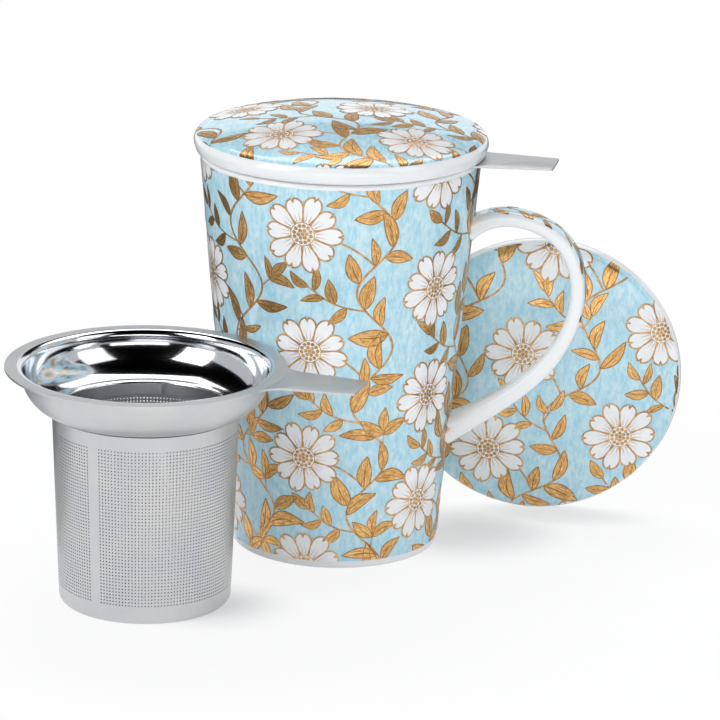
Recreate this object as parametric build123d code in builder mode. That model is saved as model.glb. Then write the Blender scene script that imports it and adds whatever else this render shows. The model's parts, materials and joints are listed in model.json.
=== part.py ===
from build123d import *
from math import atan2, cos, degrees, hypot, radians, sin, sqrt
import os

# Lidded bone china tea mug with a lift-out steel infuser, shown as a set of ten pieces.
#
# The mug stands on the origin with +Z up. Its handle points along +X and a little towards
# the front (-Y). The infuser hangs in the mug by its flange, and the lid lies on the flange.
# A second infuser stands on the table at the front left, and a second lid leans on the back
# of the mug at the right. All sizes are in millimetres.

# ---- Mug: a straight tapered cup on a foot ring ----
mug_height = 127.0
rim_radius = 44.2
foot_radius = 32.7
mug_wall = 3.2  # measured level, the same from the floor to the rim
mug_floor = 5.0
foot_recess = 1.6
foot_ring_width = 2.6
foot_edge_fillet = 1.4
foot_inner_fillet = 0.7
rim_fillet = 0.9
floor_fillet = 9.0

# ---- Handle: a flattened loop, thin at the crest and heavier towards the lower root ----
handle_turn = -8.0  # degrees from +X
handle_reach = 35.6  # from the wall to the middle of the loop at its outermost point
handle_crest_drop = 18.4  # from the rim down to the middle of the crest
handle_foot_height = 37.8  # from the table up to the middle of the lower root
handle_width = 10.0
handle_thickness = 4.8
handle_lower_thickness = 6.2
root_width = 11.0
upper_root_thickness = 6.4
lower_root_thickness = 9.0
handle_corner = 0.42  # corner radius of the section, as a share of its thickness
# Shape of the loop: share of the reach, and share of the height between root and crest.
upper_root_share = 0.93
loop_shape = [(0.38, 1.0), (0.85, 0.876), (1.0, 0.66), (0.91, 0.434), (0.51, 0.189)]
# Where the section is set along the loop, with its width and thickness.
loop_sections = [
    (0.0, root_width, upper_root_thickness),
    (0.13, handle_width, handle_thickness),
    (0.55, handle_width, handle_thickness),
    (0.85, handle_width, handle_lower_thickness),
    (1.0, root_width, lower_root_thickness),
]

# ---- Infuser: a pressed funnel with a flat flange and tab, a rolled tube and a base cup ----
sheet = 0.6
flange_radius = 42.8
bowl_mouth_radius = 38.4  # inside the flange
bowl_depth = 13.4  # from the underside of the flange to where the bowl reaches the tube
lip_fillet = 1.2
neck_length = 3.6
neck_fillet = 0.5
weld_gap = 0.1  # between nested sheets that are spot-welded to each other
infuser_depth = 73.9  # from the underside of the flange to the underside of the base
tube_top_radius = 28.5
tube_gap = 0.3  # between the bowl and the top edge of the tube
tube_bottom_radius = 26.4
base_edge_radius = 2.4
base_upstand = 3.5
tab_turn = -11.5  # degrees from +X, on the infuser that hangs in the mug
tab_tip = 68.0  # from the axis to the end of the tab
tab_tip_width = 14.0
tab_root_width = 19.5  # where the straight sides of the tab run into the flange
tab_root_fillet = 7.0
tab_tip_fillet = 0.9

# ---- Perforation: coarse square holes that stand in for the fine ones ----
hole_side = 1.8
hole_rows = 6
hole_columns = 18  # one of them is left out, where the plain seam runs
top_band = 5.2  # plain sheet above the highest holes
bottom_band = 6.8  # plain sheet below the lowest holes
seam_turn = -104.7  # degrees from the tab to the seam
base_ring_pitch = 6.5
base_rings = 3

# ---- Lid: a low dome with an upright rim and a locating ring underneath ----
lid_radius = 46.2
lid_edge_radius = 45.3  # at the foot of the rim
lid_rim_height = 2.9
lid_dome_rise = 8.7
lid_shoulder_radius = 3.6
lid_wall = 2.8
lid_edge_fillet = 0.7
ring_clearance = 0.9  # between the locating ring and the bowl of the infuser
ring_depth = 3.0
ring_width = 2.4
ring_fillet = 0.8

# ---- Second infuser, standing at the front left ----
standing_bearing = 226.0  # degrees from +X, from the mug to the second infuser
standing_gap = 1.8  # between its flange and the wall of the mug
standing_tab_turn = -17.0

# ---- Second lid, leaning on the back of the mug at the right ----
leaning_bearing = 55.0  # degrees from +X, from the mug's axis to the point of contact
leaning_turn = 4.0  # degrees that the face is turned towards -X
leaning_tilt = 2.0  # degrees that the top leans forward
leaning_gap = 0.3

# ---- Values worked out from the sizes above ----
wall_slope = (rim_radius - foot_radius) / mug_height
lid_seat = mug_height + sheet
bowl_outer_radius = bowl_mouth_radius - sheet
tab_taper = (tab_root_width - tab_tip_width) / (tab_tip - flange_radius)
tab_axis_width = tab_tip_width + tab_taper * tab_tip  # between its sides, drawn on to the axis
tube_top_depth = bowl_depth + tube_gap
tube_bottom_depth = infuser_depth - base_edge_radius
crown_radius = (
    (lid_radius - lid_shoulder_radius) ** 2 + lid_dome_rise**2 - lid_shoulder_radius**2
) / (2 * (lid_dome_rise - lid_shoulder_radius))


def wall_radius(height):
    """Outer radius of the mug at a height above the table."""
    return foot_radius + wall_slope * height


def tube_radius(depth):
    """Outer radius of the infuser's tube at a depth under the flange."""
    share = (depth - tube_top_depth) / (tube_bottom_depth - tube_top_depth)
    return tube_top_radius + (tube_bottom_radius - tube_top_radius) * share


def nested_radius(depth):
    """Outer radius of a sheet that nests inside the tube at a depth under the flange."""
    return tube_radius(depth) - sheet - weld_gap


def radial(turn):
    """Level direction at an angle from +X."""
    return Vector(cos(radians(turn)), sin(radians(turn)), 0)


os.makedirs("parts", exist_ok=True)

# ---- Mug body ----
with BuildPart() as mug_body:
    with BuildSketch(Plane.XZ):
        with BuildLine():
            cup = FilletPolyline(
                (0, foot_recess),
                (foot_radius - foot_edge_fillet - foot_ring_width, foot_recess),
                (foot_radius - foot_edge_fillet - foot_ring_width, 0),
                (foot_radius, 0),
                (rim_radius, mug_height),
                (rim_radius - mug_wall, mug_height),
                (wall_radius(mug_floor) - mug_wall, mug_floor),
                (0, mug_floor),
                radius=[
                    foot_inner_fillet,
                    foot_inner_fillet,
                    foot_edge_fillet,
                    rim_fillet,
                    rim_fillet,
                    floor_fillet,
                ],
            )
            Line(cup @ 1, cup @ 0)
        make_face()
    revolve(axis=Axis.Z)
mug_body.part.label = "mug_body"
export_step(mug_body.part, "parts/mug_body.step")

# ---- Mug handle ----
handle_plane = Plane(
    origin=(0, 0, 0), x_dir=radial(handle_turn), z_dir=radial(handle_turn - 90)
)
crest_height = mug_height - handle_crest_drop
loop_height = crest_height - handle_foot_height
upper_root_height = handle_foot_height + upper_root_share * loop_height
loop_points = [(wall_radius(upper_root_height) - mug_wall / 2, upper_root_height)]
for reach_share, height_share in loop_shape:
    point_height = handle_foot_height + height_share * loop_height
    loop_points.append((wall_radius(point_height) + reach_share * handle_reach, point_height))
loop_points.append((wall_radius(handle_foot_height) - mug_wall / 2, handle_foot_height))

with BuildPart() as mug_handle:
    with BuildLine(handle_plane) as loop:
        Spline(loop_points)
    for station, section_width, section_thickness in loop_sections:
        section_plane = Plane(
            origin=loop.line @ station,
            x_dir=handle_plane.z_dir,
            z_dir=loop.line % station,
        )
        with BuildSketch(section_plane):
            RectangleRounded(section_width, section_thickness, handle_corner * section_thickness)
    sweep(path=loop.line, multisection=True)
    # The roots are cut to the wall, which the handle meets face to face.
    with BuildSketch(Plane.XZ):
        Polygon(
            (0, 0), (foot_radius, 0), (rim_radius, mug_height), (0, mug_height), align=None
        )
    revolve(axis=Axis.Z, mode=Mode.SUBTRACT)
mug_handle.part.label = "mug_handle"
export_step(mug_handle.part, "parts/mug_handle.step")

# ---- Infuser bowl: flange, tab, funnel and neck, pressed from one sheet ----
seat_plane = Plane(origin=(0, 0, mug_height), x_dir=radial(tab_turn), z_dir=(0, 0, 1))
infuser_side = Plane(origin=(0, 0, mug_height), x_dir=(1, 0, 0), z_dir=(0, -1, 0))

with BuildPart() as infuser_bowl:
    with BuildSketch(infuser_side):
        with BuildLine():
            flange = Line((flange_radius, 0), (bowl_outer_radius + lip_fillet, 0))
            lip = TangentArc(flange @ 1, (bowl_outer_radius, -lip_fillet), tangent=flange % 1)
            bowl = TangentArc(lip @ 1, (tube_top_radius, -bowl_depth), tangent=lip % 1)
            FilletPolyline(
                bowl @ 1,
                (nested_radius(tube_top_depth), -bowl_depth),
                (nested_radius(bowl_depth + neck_length), -bowl_depth - neck_length),
                radius=neck_fillet,
            )
            offset(amount=sheet, side=Side.RIGHT)
        make_face()
    revolve(axis=Axis.Z)
    with BuildSketch(seat_plane) as flange_plate:
        Circle(flange_radius)
        Polygon(
            (0, -tab_axis_width / 2),
            (tab_tip, -tab_tip_width / 2),
            (tab_tip, tab_tip_width / 2),
            (0, tab_axis_width / 2),
            align=None,
        )
        fillet(flange_plate.vertices().group_by(Axis.X)[-2], radius=tab_root_fillet)
        fillet(flange_plate.vertices().group_by(Axis.X)[-1], radius=tab_tip_fillet)
        Circle(bowl_outer_radius + lip_fillet, mode=Mode.SUBTRACT)
    extrude(amount=sheet)
infuser_bowl.part.label = "infuser_bowl"
export_step(infuser_bowl.part, "parts/infuser_bowl.step")

# ---- Infuser tube: rolled from one sheet, with holes all round but for the seam ----
hole_zone = infuser_depth - bottom_band - tube_top_depth - top_band
row_pitch = (hole_zone - hole_side) / (hole_rows - 1)
column_pitch = 360 / hole_columns

with BuildPart() as infuser_tube:
    with BuildSketch(infuser_side):
        Polygon(
            (tube_top_radius, -tube_top_depth),
            (tube_bottom_radius, -tube_bottom_depth),
            (tube_bottom_radius - sheet, -tube_bottom_depth),
            (tube_top_radius - sheet, -tube_top_depth),
            align=None,
        )
    revolve(axis=Axis.Z)
    for row in range(hole_rows):
        hole_depth = tube_top_depth + top_band + hole_side / 2 + row * row_pitch
        with Locations((0, 0, mug_height - hole_depth)):
            with PolarLocations(
                tube_radius(hole_depth) - sheet / 2,
                hole_columns - 1,
                start_angle=tab_turn + seam_turn + column_pitch,
                angular_range=360 - 2 * column_pitch,
                endpoint=True,
            ):
                Box(4 * sheet, hole_side, hole_side, mode=Mode.SUBTRACT)
infuser_tube.part.label = "infuser_tube"
export_step(infuser_tube.part, "parts/infuser_tube.step")

# ---- Infuser base: a pressed cup whose upstand sits inside the tube ----
upstand_depth = tube_bottom_depth - base_upstand
shoulder_radius = nested_radius(tube_bottom_depth)
inner_floor = sheet - infuser_depth

with BuildPart() as infuser_base:
    with BuildSketch(infuser_side):
        with BuildLine():
            upstand = Line(
                (nested_radius(upstand_depth), -upstand_depth),
                (shoulder_radius, -tube_bottom_depth),
            )
            shoulder = Line(upstand @ 1, (tube_bottom_radius, -tube_bottom_depth))
            edge = TangentArc(
                shoulder @ 1,
                (tube_bottom_radius - base_edge_radius, -infuser_depth),
                tangent=(0, -1),
            )
            Polyline(edge @ 1, (0, -infuser_depth), (0, inner_floor))
            FilletPolyline(
                (0, inner_floor),
                (shoulder_radius - sheet, inner_floor),
                (shoulder_radius - sheet, -tube_bottom_depth),
                (nested_radius(upstand_depth) - sheet, -upstand_depth),
                upstand @ 0,
                radius=[base_edge_radius - sheet, 0, 0],
            )
        make_face()
    revolve(axis=Axis.Z)
    base_plane = Plane(origin=(0, 0, mug_height - infuser_depth), z_dir=(0, 0, 1))
    with BuildSketch(base_plane):
        Rectangle(hole_side, hole_side)
        for ring in range(1, base_rings + 1):
            with PolarLocations(ring * base_ring_pitch, 6 * ring):
                Rectangle(hole_side, hole_side)
    extrude(amount=2 * sheet, mode=Mode.SUBTRACT)
infuser_base.part.label = "infuser_base"
export_step(infuser_base.part, "parts/infuser_base.step")

# ---- Lid ----
# The locating ring goes down into the bowl, whose inner wall it clears.
bowl_radius = ((bowl_outer_radius - tube_top_radius) ** 2 + (bowl_depth - lip_fillet) ** 2) / (
    2 * (bowl_outer_radius - tube_top_radius)
)
ring_reach = sqrt((bowl_radius - sheet) ** 2 - (ring_depth - sheet - lip_fillet) ** 2)
ring_radius = bowl_outer_radius - bowl_radius + ring_reach - ring_clearance
hollow_radius = ring_radius - ring_width
hollow_height = (
    lid_rim_height
    + lid_dome_rise
    - crown_radius
    + sqrt((crown_radius - lid_wall) ** 2 - hollow_radius**2)
)
lid_side = Plane(origin=(0, 0, lid_seat), x_dir=(1, 0, 0), z_dir=(0, -1, 0))

with BuildPart() as lid:
    with BuildSketch(lid_side):
        with BuildLine():
            shoulder = CenterArc(
                (lid_radius - lid_shoulder_radius, lid_rim_height),
                lid_shoulder_radius,
                start_angle=0,
                arc_size=degrees(atan2(crown_radius - lid_dome_rise, lid_radius - lid_shoulder_radius)),
            )
            crown = TangentArc(
                shoulder @ 1, (0, lid_rim_height + lid_dome_rise), tangent=shoulder % 1
            )
            hollow = TangentArc(
                crown @ 1 - Vector(0, lid_wall, 0), (hollow_radius, hollow_height), tangent=(1, 0)
            )
            Line(crown @ 1, hollow @ 0)
            FilletPolyline(
                shoulder @ 0,
                (lid_edge_radius, 0),
                (ring_radius, 0),
                (ring_radius, -ring_depth),
                (hollow_radius, -ring_depth),
                hollow @ 1,
                radius=[lid_edge_fillet, 0, ring_fillet, ring_fillet],
            )
        make_face()
    revolve(axis=Axis.Z)
lid.part.label = "lid"
export_step(lid.part, "parts/lid.step")

# ---- Second infuser: the same three pieces, standing on the table ----
standing_distance = wall_radius(infuser_depth) + flange_radius + standing_gap
standing_place = Location(
    radial(standing_bearing) * standing_distance + Vector(0, 0, infuser_depth - mug_height),
    (0, 0, standing_tab_turn - tab_turn),
)

with BuildPart() as standing_infuser_bowl:
    with Locations(standing_place):
        add(infuser_bowl.part)
standing_infuser_bowl.part.label = "standing_infuser_bowl"
export_step(standing_infuser_bowl.part, "parts/standing_infuser_bowl.step")

with BuildPart() as standing_infuser_tube:
    with Locations(standing_place):
        add(infuser_tube.part)
standing_infuser_tube.part.label = "standing_infuser_tube"
export_step(standing_infuser_tube.part, "parts/standing_infuser_tube.step")

with BuildPart() as standing_infuser_base:
    with Locations(standing_place):
        add(infuser_base.part)
standing_infuser_base.part.label = "standing_infuser_base"
export_step(standing_infuser_base.part, "parts/standing_infuser_base.step")

# ---- Second lid: on its edge, with the shoulder of its dome against the wall of the mug ----
# The shoulder is rounded about a circle in the plane of the rim. That circle and the wall come
# nearest a little above the middle of the lid, because the wall widens upwards and the lid
# leans forward, so contact_room is added to the distance at the middle.
shoulder_circle = lid_radius - lid_shoulder_radius
across = radial(-leaning_turn)
behind = radial(90 - leaning_turn)
towards_mug = radial(leaning_bearing)
facing = behind * -cos(radians(leaning_tilt)) - Vector(0, 0, sin(radians(leaning_tilt)))
rim_centre_height = lid_shoulder_radius + shoulder_circle * cos(radians(leaning_tilt))
closing = wall_slope + sin(radians(leaning_tilt)) * behind.dot(towards_mug)
contact_room = shoulder_circle * (
    hypot(across.dot(towards_mug), closing) - across.dot(towards_mug)
)
contact_distance = (
    wall_radius(rim_centre_height) + lid_shoulder_radius + leaning_gap + contact_room
)
rim_centre = (
    towards_mug * contact_distance
    + across * shoulder_circle
    + Vector(0, 0, rim_centre_height)
)
leaning_plane = Plane(origin=rim_centre, x_dir=across, z_dir=facing)
leaning_place = leaning_plane.location * Location((0, 0, -lid_seat - lid_rim_height))

with BuildPart() as leaning_lid:
    with Locations(leaning_place):
        add(lid.part)
leaning_lid.part.label = "leaning_lid"
export_step(leaning_lid.part, "parts/leaning_lid.step")
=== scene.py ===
# %% [markdown]
# # A tea mug with its infuser and lid
#
# A tall bone china mug with a printed wall, a loose printed lid and a lift-out steel infuser. A second
# infuser stands in front of it and a second lid leans on it. This lesson dresses the measured CAD model:
# the pieces keep their sizes and places, and get smooth skins, a glaze, a print and steel.
#
# First the CAD model is loaded. It tells where every piece is, in metres, with the mug on the origin.

# %% Load the frame
import bisect
import json
import math
import random

import bpy
from mathutils import Matrix, Vector

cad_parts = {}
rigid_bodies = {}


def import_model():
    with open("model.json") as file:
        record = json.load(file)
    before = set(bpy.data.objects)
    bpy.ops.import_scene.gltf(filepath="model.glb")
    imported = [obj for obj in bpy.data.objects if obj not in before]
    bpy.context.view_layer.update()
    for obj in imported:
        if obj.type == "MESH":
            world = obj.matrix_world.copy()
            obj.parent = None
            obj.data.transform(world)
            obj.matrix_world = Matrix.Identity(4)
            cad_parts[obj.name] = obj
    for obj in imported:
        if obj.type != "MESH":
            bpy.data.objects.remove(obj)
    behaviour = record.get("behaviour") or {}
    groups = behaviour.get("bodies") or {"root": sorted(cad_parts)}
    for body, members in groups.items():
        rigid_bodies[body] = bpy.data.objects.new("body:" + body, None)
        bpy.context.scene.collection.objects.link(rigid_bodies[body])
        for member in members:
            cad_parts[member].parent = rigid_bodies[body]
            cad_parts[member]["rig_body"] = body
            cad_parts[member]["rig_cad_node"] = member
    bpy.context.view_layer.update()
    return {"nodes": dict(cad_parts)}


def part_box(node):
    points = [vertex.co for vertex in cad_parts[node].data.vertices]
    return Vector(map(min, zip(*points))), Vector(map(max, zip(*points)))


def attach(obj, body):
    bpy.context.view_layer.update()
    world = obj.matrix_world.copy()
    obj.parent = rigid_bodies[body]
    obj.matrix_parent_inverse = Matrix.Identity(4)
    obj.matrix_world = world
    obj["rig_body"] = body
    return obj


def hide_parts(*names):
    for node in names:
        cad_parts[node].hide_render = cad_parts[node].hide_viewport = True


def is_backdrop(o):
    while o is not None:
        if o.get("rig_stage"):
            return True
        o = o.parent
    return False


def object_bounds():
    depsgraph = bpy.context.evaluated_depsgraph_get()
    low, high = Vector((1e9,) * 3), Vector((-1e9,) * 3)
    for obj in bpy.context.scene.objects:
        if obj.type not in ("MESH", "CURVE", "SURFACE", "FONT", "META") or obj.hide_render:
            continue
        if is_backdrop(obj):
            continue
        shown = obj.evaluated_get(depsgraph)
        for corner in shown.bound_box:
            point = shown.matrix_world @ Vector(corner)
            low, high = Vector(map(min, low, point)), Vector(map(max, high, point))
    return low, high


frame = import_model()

MM = 0.001
TURN = 2 * math.pi
bpy.ops.object.select_all(action="DESELECT")

# %% [markdown]
# ## Sizes
#
# The frame gives the height of the mug and the places of the two spare pieces. What the boxes can't tell,
# such as wall thicknesses and rounds, is named where it is first needed, with the CAD model's values.

# %% Sizes of the mug
mug_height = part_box("mug_body")[1].z
rim_radius = 44.2 * MM
foot_radius = 32.7 * MM
mug_wall = 3.2 * MM
mug_floor = 5 * MM
foot_recess = 1.6 * MM
foot_ring_width = 2.6 * MM
foot_round = 1.4 * MM
recess_round = 0.7 * MM
rim_round = 0.9 * MM
floor_round = 9 * MM
wall_slope = (rim_radius - foot_radius) / mug_height


def wall_radius(height):
    """Outer radius of the mug at a height."""
    return foot_radius + wall_slope * height


mug_sizes = [round(size / MM, 1) for size in (mug_height, wall_radius(0), wall_radius(mug_height))]
print("height, foot radius and rim radius of the mug", mug_sizes)

# %% [markdown]
# ## Rounded outlines and a lathe
#
# Nearly every piece here is turned: the mug, the lid and the infuser are all round. Such a piece could be
# made from a cylinder with many modifiers, but an outline spun round the upright axis gives exact walls
# and smooth reflections. One helper rounds the corners of an outline, and one spins it.

# %% Helpers for outlines
ROUND_STEPS = 6


def rounded(corners, radii):
    """The corners of an open outline, each but the first and last turned into a round of its own radius."""
    points = [Vector(corners[0])]
    for before, corner, after, radius in zip(corners, corners[1:], corners[2:], radii):
        corner = Vector(corner)
        to_before = (Vector(before) - corner).normalized()
        to_after = (Vector(after) - corner).normalized()
        if radius == 0:
            points.append(corner)
            continue
        half = to_before.angle(to_after) / 2
        centre = corner + (to_before + to_after).normalized() * (radius / math.sin(half))
        start = corner + to_before * (radius / math.tan(half)) - centre
        end = corner + to_after * (radius / math.tan(half)) - centre
        for step in range(ROUND_STEPS + 1):
            share = step / ROUND_STEPS
            points.append(centre + (start * (1 - share) + end * share).normalized() * radius)
    points.append(Vector(corners[-1]))
    return points


def arc(centre, radius, start, end, steps):
    """Points on an arc, with its angles in radians from level."""
    angles = [start + (end - start) * step / steps for step in range(steps + 1)]
    return [Vector((centre[0] + radius * math.cos(a), centre[1] + radius * math.sin(a))) for a in angles]


# %% Helpers for meshes


def pick(*pieces):
    """Selects these pieces alone and makes the first of them active."""
    bpy.ops.object.select_all(action="DESELECT")
    for piece in pieces:
        piece.select_set(True)
    bpy.context.view_layer.objects.active = pieces[0]


def edit(piece):
    """Opens one piece in edit mode with everything selected."""
    pick(piece)
    bpy.ops.object.mode_set(mode="EDIT")
    bpy.ops.mesh.select_all(action="SELECT")


def leave():
    bpy.ops.object.mode_set(mode="OBJECT")
    bpy.ops.object.select_all(action="DESELECT")


def smooth(piece, degrees):
    """Smooth shading, apart from edges sharper than an angle."""
    pick(piece)
    bpy.ops.object.shade_smooth_by_angle(angle=math.radians(degrees))


def named(piece, name):
    piece.name = name
    piece.data.name = name
    return piece


# %% The lathe
SPIN_STEPS = 192
MERGE = 0.001 * MM


def ring_of(points, name, filled=False):
    """A circle primitive whose corners are moved onto an outline, which lies flat if it is filled."""
    fill_type = "NGON" if filled else "NOTHING"
    bpy.ops.mesh.primitive_circle_add(
        vertices=len(points), radius=MM, fill_type=fill_type, calc_uvs=False
    )
    piece = named(bpy.context.object, name)
    for vertex, point in zip(piece.data.vertices, points):
        vertex.co = (point[0], point[1], 0) if filled else (point[0], 0, point[1])
    return piece


def lathe(name, outline, smooth_angle=32):
    """Spins a closed outline of (radius, height) points round the upright axis."""
    piece = ring_of(outline, name)
    edit(piece)
    bpy.ops.mesh.spin(steps=SPIN_STEPS, angle=TURN, center=(0, 0, 0), axis=(0, 0, 1))
    bpy.ops.mesh.select_all(action="SELECT")
    bpy.ops.mesh.remove_doubles(threshold=MERGE)
    bpy.ops.mesh.dissolve_degenerate(threshold=MERGE / 2)
    bpy.ops.mesh.select_all(action="SELECT")
    bpy.ops.mesh.normals_make_consistent(inside=False)
    leave()
    smooth(piece, smooth_angle)
    print(name, len(piece.data.polygons), "faces")
    return piece


# %% [markdown]
# ## Shader maths as expressions
#
# A finish is a small calculation on the surface: noise, masks and mixes. Written node by node it is hard to
# read, so one class wraps a socket and turns + - * into Math nodes. Everything else goes through `node`.

# %% A socket with operators


class Value:
    """A number or colour that varies over a surface."""

    def __init__(self, finish, socket):
        self.finish = finish
        self.socket = socket

    def math(self, operation, other):
        return self.finish.node("Math", {"operation": operation}, {0: self, 1: other})

    def __add__(self, other):
        return self.math("ADD", other)

    def __mul__(self, other):
        return self.math("MULTIPLY", other)

    def __sub__(self, other):
        return self.math("SUBTRACT", other)

    def __rsub__(self, other):
        return self.finish.node("Math", {"operation": "SUBTRACT"}, {0: other, 1: self})

    __radd__ = __add__
    __rmul__ = __mul__

    def spread(self, low, high):
        """0 below low, 1 above high and smooth between."""
        settings = {"interpolation_type": "SMOOTHSTEP"}
        inputs = {"Value": self, "From Min": low, "From Max": high}
        return self.finish.node("MapRange", settings, inputs)


# %% A finish


class Finish:
    """A material, its shader and the calls that make its nodes."""

    def __init__(self, name, **fixed):
        self.material = bpy.data.materials.new(name)
        self.material.use_nodes = True
        self.tree = self.material.node_tree
        self.shader = self.tree.nodes["Principled BSDF"]
        self.shade(**fixed)

    def node(self, kind, settings=None, inputs=None, output=0):
        """Adds a node, sets it up, links or fills its sockets and returns one output."""
        made = self.tree.nodes.new("ShaderNode" + kind)
        for key, setting in (settings or {}).items():
            setattr(made, key, setting)
        for key, given in (inputs or {}).items():
            self.plug(made.inputs[key], given)
        return Value(self, made.outputs[output])

    def plug(self, socket, given):
        if isinstance(given, Value):
            self.tree.links.new(given.socket, socket)
        else:
            socket.default_value = given

    def mix(self, share, first, second):
        """Mixes two colours."""
        inputs = {0: share, 6: first, 7: second}
        return self.node("Mix", {"data_type": "RGBA"}, inputs, output=2)

    def place(self, stretch=(1, 1, 1)):
        """Object coordinates, in millimetres over each axis's stretch."""
        coordinates = self.node("TexCoord", output="Object")
        scale = tuple(1 / (MM * s) for s in stretch)
        return self.node("Mapping", None, {"Vector": coordinates, "Scale": scale})

    def motif(self, along, across):
        """Places in a flat motif, in millimetres over a stroke's length and width."""
        places = self.node("UVMap", {"uv_map": "motif"}, output="UV")
        return self.node("Mapping", None, {"Vector": places, "Scale": (1 / along, 1 / across, 1)})

    def noise(self, where, size, detail, roughness=0.55):
        """Soft noise from 0 to 1 whose patches are about size millimetres."""
        inputs = {"Vector": where, "Scale": 1 / size, "Detail": detail, "Roughness": roughness}
        return self.node("TexNoise", None, inputs, output="Fac")

    def bump(self, height, distance):
        """Bumps a height of 0 to 1 by a distance in millimetres."""
        inputs = {"Height": height, "Distance": distance * MM, "Strength": 1.0}
        return self.node("Bump", None, inputs, output="Normal")

    def shade(self, **given_by_socket):
        """Sets or links the shader's own sockets, named with _ for each space."""
        for key, given in given_by_socket.items():
            self.plug(self.shader.inputs[key.replace("_", " ")], given)
        return self.material


# %% [markdown]
# ## China and glaze
#
# Bone china is a white body under a thin clear glaze. The glaze is glossy but not flat: it pulls into very
# slight waves. Modelled, they would need a mesh as fine as the waves, so a bump of a few hundredths of a
# millimetre bends the reflections instead. Soft noise varies the white and the gloss a little.

# %% China


def make_china():
    finish = Finish("glazed_bone_china", IOR=1.52, Coat_Weight=0.35)
    where = finish.place()
    cloud = finish.noise(where, 22, 2)
    wave = finish.noise(where, 9, 1)
    colour = finish.mix(cloud, (0.86, 0.875, 0.885, 1), (0.91, 0.915, 0.91, 1))
    roughness = 0.07 + 0.06 * finish.noise(where, 5, 2)
    normal = finish.bump(wave, 0.03)
    return finish.shade(Base_Color=colour, Roughness=roughness, Normal=normal)


china = make_china()
print(china.name, len(china.node_tree.nodes), "nodes")

# %% [markdown]
# The ground of the print is sky blue, washed on in short strokes. A painted picture could carry them, but
# noise that is stretched along the strokes needs no file and never repeats. Three sizes of it are mixed:
# pools of thick and thin wash, the strokes, and pale flecks where the white shows through. The strokes run
# up the wall and the leaning lid, and from front to back on the other lid, so there are three grounds.

# %% The blue ground of the print


def make_ground(name, stretch):
    """Watery sky blue laid on in strokes, which run along the stretched axis."""
    finish = Finish(name, IOR=1.5, Coat_Weight=0.3)
    strokes = finish.noise(finish.place(stretch), 1.4, 2, 0.6)
    pools = finish.noise(finish.place(), 4.5, 3)
    flecks = finish.noise(finish.place(stretch), 0.75, 2, 0.7)
    wash = finish.mix(pools.spread(0.34, 0.66), (0.50, 0.765, 0.86, 1), (0.63, 0.835, 0.895, 1))
    strong = finish.mix(strokes.spread(0.34, 0.62), (0.395, 0.70, 0.832, 1), wash)
    colour = finish.mix(flecks.spread(0.5, 0.72) * 0.48, strong, (0.80, 0.905, 0.935, 1))
    roughness = 0.1 + 0.08 * strokes
    return finish.shade(Base_Color=colour, Roughness=roughness)


wall_ground = make_ground("sky_blue_wall", (1, 1, 2.6))
lid_ground = make_ground("sky_blue_lid", (1, 2.6, 1))
leaning_ground = make_ground("sky_blue_leaning_lid", (1, 1, 2.4))
print(wall_ground.name, len(wall_ground.node_tree.nodes), "nodes")

# %% [markdown]
# Leaves, lines and dots are painted gold. One even gold would look like foil, so noise moves it between a
# dark and a light tone and varies its gloss. The strokes on a leaf run from its stalk to its tip, whichever
# way it lies. They follow a UV map that holds each point's place in its flat motif.

# %% The gold of the leaves


def make_leaf_gold():
    """Gold with fine strokes of the brush, which follow each leaf from its stalk to its tip."""
    finish = Finish("leaf_gold")
    dark_strokes = finish.noise(finish.motif(3.2, 0.42), 1, 3, 0.65)
    light_strokes = finish.noise(finish.motif(2.1, 0.34), 1, 2, 0.6)
    patches = finish.noise(finish.place(), 6, 2)
    body = finish.mix(patches.spread(0.3, 0.7), (0.64, 0.33, 0.10, 1), (0.82, 0.47, 0.165, 1))
    lit = finish.mix(light_strokes.spread(0.52, 0.62) * 0.75, body, (1.0, 0.74, 0.39, 1))
    colour = finish.mix(dark_strokes.spread(0.54, 0.61) * 0.72, lit, (0.27, 0.115, 0.033, 1))
    roughness = 0.2 + 0.18 * dark_strokes
    metallic = 0.8 + 0.2 * patches
    normal = finish.bump(light_strokes, 0.035)
    return finish.shade(Base_Color=colour, Roughness=roughness, Metallic=metallic, Normal=normal)


leaf_gold = make_leaf_gold()
print(leaf_gold.name, len(leaf_gold.node_tree.nodes), "nodes")

# %% The golds of dots and lines


def make_gold(name, dark, light, streak, metal):
    """Gold laid on with a brush: lighter and darker where it is thick and thin."""
    finish = Finish(name)
    where = finish.place()
    streaks = finish.noise(where, streak, 4, 0.7)
    patches = finish.noise(where, 5, 2)
    share = (0.65 * streaks + 0.35 * patches).spread(0.36, 0.64)
    colour = finish.mix(share, dark, light)
    roughness = 0.34 + 0.2 * patches - 0.12 * streaks
    metallic = metal * (0.75 + 0.25 * patches)
    normal = finish.bump(streaks, 0.02)
    return finish.shade(Base_Color=colour, Roughness=roughness, Metallic=metallic, Normal=normal)


gold = make_gold("painted_gold", (0.40, 0.20, 0.06, 1), (0.82, 0.52, 0.22, 1), 0.8, 0.85)
gold_line = make_gold("gold_line", (0.42, 0.225, 0.09, 1), (0.77, 0.49, 0.225, 1), 1.4, 0.8)
leaf_line = make_gold("leaf_line", (0.24, 0.11, 0.035, 1), (0.55, 0.30, 0.12, 1), 1.4, 0.8)
print(gold.name, len(gold.node_tree.nodes), "nodes")

# %% [markdown]
# The petals are white enamel, a little uneven like anything laid on by hand. Soft noise between two whites
# is enough, because the gold line round each petal draws its form.

# %% The white of the petals


def make_petal():
    finish = Finish("petal_white", IOR=1.5, Coat_Weight=0.3)
    where = finish.place()
    soft = finish.noise(where, 3.2, 3)
    colour = finish.mix(soft.spread(0.35, 0.7), (0.89, 0.90, 0.915, 1), (0.95, 0.955, 0.955, 1))
    return finish.shade(Base_Color=colour, Roughness=0.1 + 0.06 * soft)


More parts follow.
